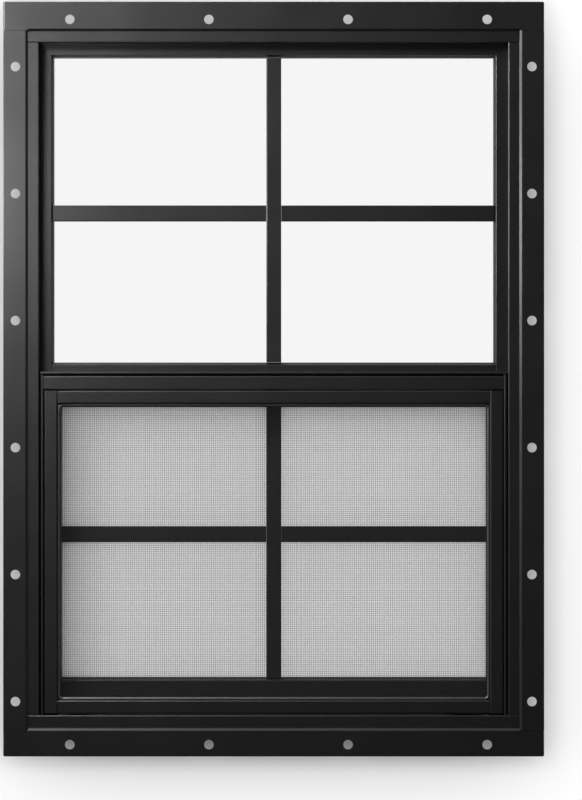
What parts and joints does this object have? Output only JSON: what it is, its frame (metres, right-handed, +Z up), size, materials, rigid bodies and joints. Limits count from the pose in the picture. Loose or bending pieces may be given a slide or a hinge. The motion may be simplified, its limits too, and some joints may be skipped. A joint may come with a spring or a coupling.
{
  "type": "shed window",
  "caption": "Vertical sliding flanged window with muntins on both sashes and an insect screen over the lower one.",
  "frame": {"origin": "back face of the mounting flange, at mid width, on the line of the sill's screw holes", "axes": "+Z up, +Y from outside into the wall, +X to the right as seen from outside"},
  "size_m": [0.406, 0.0431, 0.5664],
  "materials": {
    "frame": "satin black coating",
    "glass": "clear",
    "seal": "matte",
    "mesh": "woven, coated glass-fibre yarn",
    "latch": "moulded",
    "spring": "rolled strip"
  },
  "bodies": {
    "root": {"head": "frame", "sill": "frame", "left_jamb": "frame", "right_jamb": "frame", "fixed_sash_top_rail": "frame", "fixed_sash_left_stile": "frame", "fixed_sash_right_stile": "frame", "meeting_rail": "frame", "upper_glazing_channel": "seal", "upper_glass": "glass", "upper_upright_muntin": "frame", "upper_left_crossbar": "frame", "upper_right_crossbar": "frame", "sliding_sash_top_rail": "frame", "sliding_sash_bottom_rail": "frame", "sliding_sash_left_stile": "frame", "sliding_sash_right_stile": "frame", "lower_glazing_channel": "seal", "lower_glass": "glass", "lower_upright_muntin": "frame", "lower_left_crossbar": "frame", "lower_right_crossbar": "frame", "left_latch": "latch", "right_latch": "latch", "left_screen_track": "frame", "right_screen_track": "frame", "sill_screen_seat": "frame", "screen_header": "frame", "screen_left_stile": "frame", "screen_right_stile": "frame", "screen_top_rail": "frame", "screen_bottom_rail": "frame", "screen_mesh": "mesh", "screen_spline": "seal", "left_screen_spring": "spring", "right_screen_spring": "spring"}
  },
  "joints": []
}
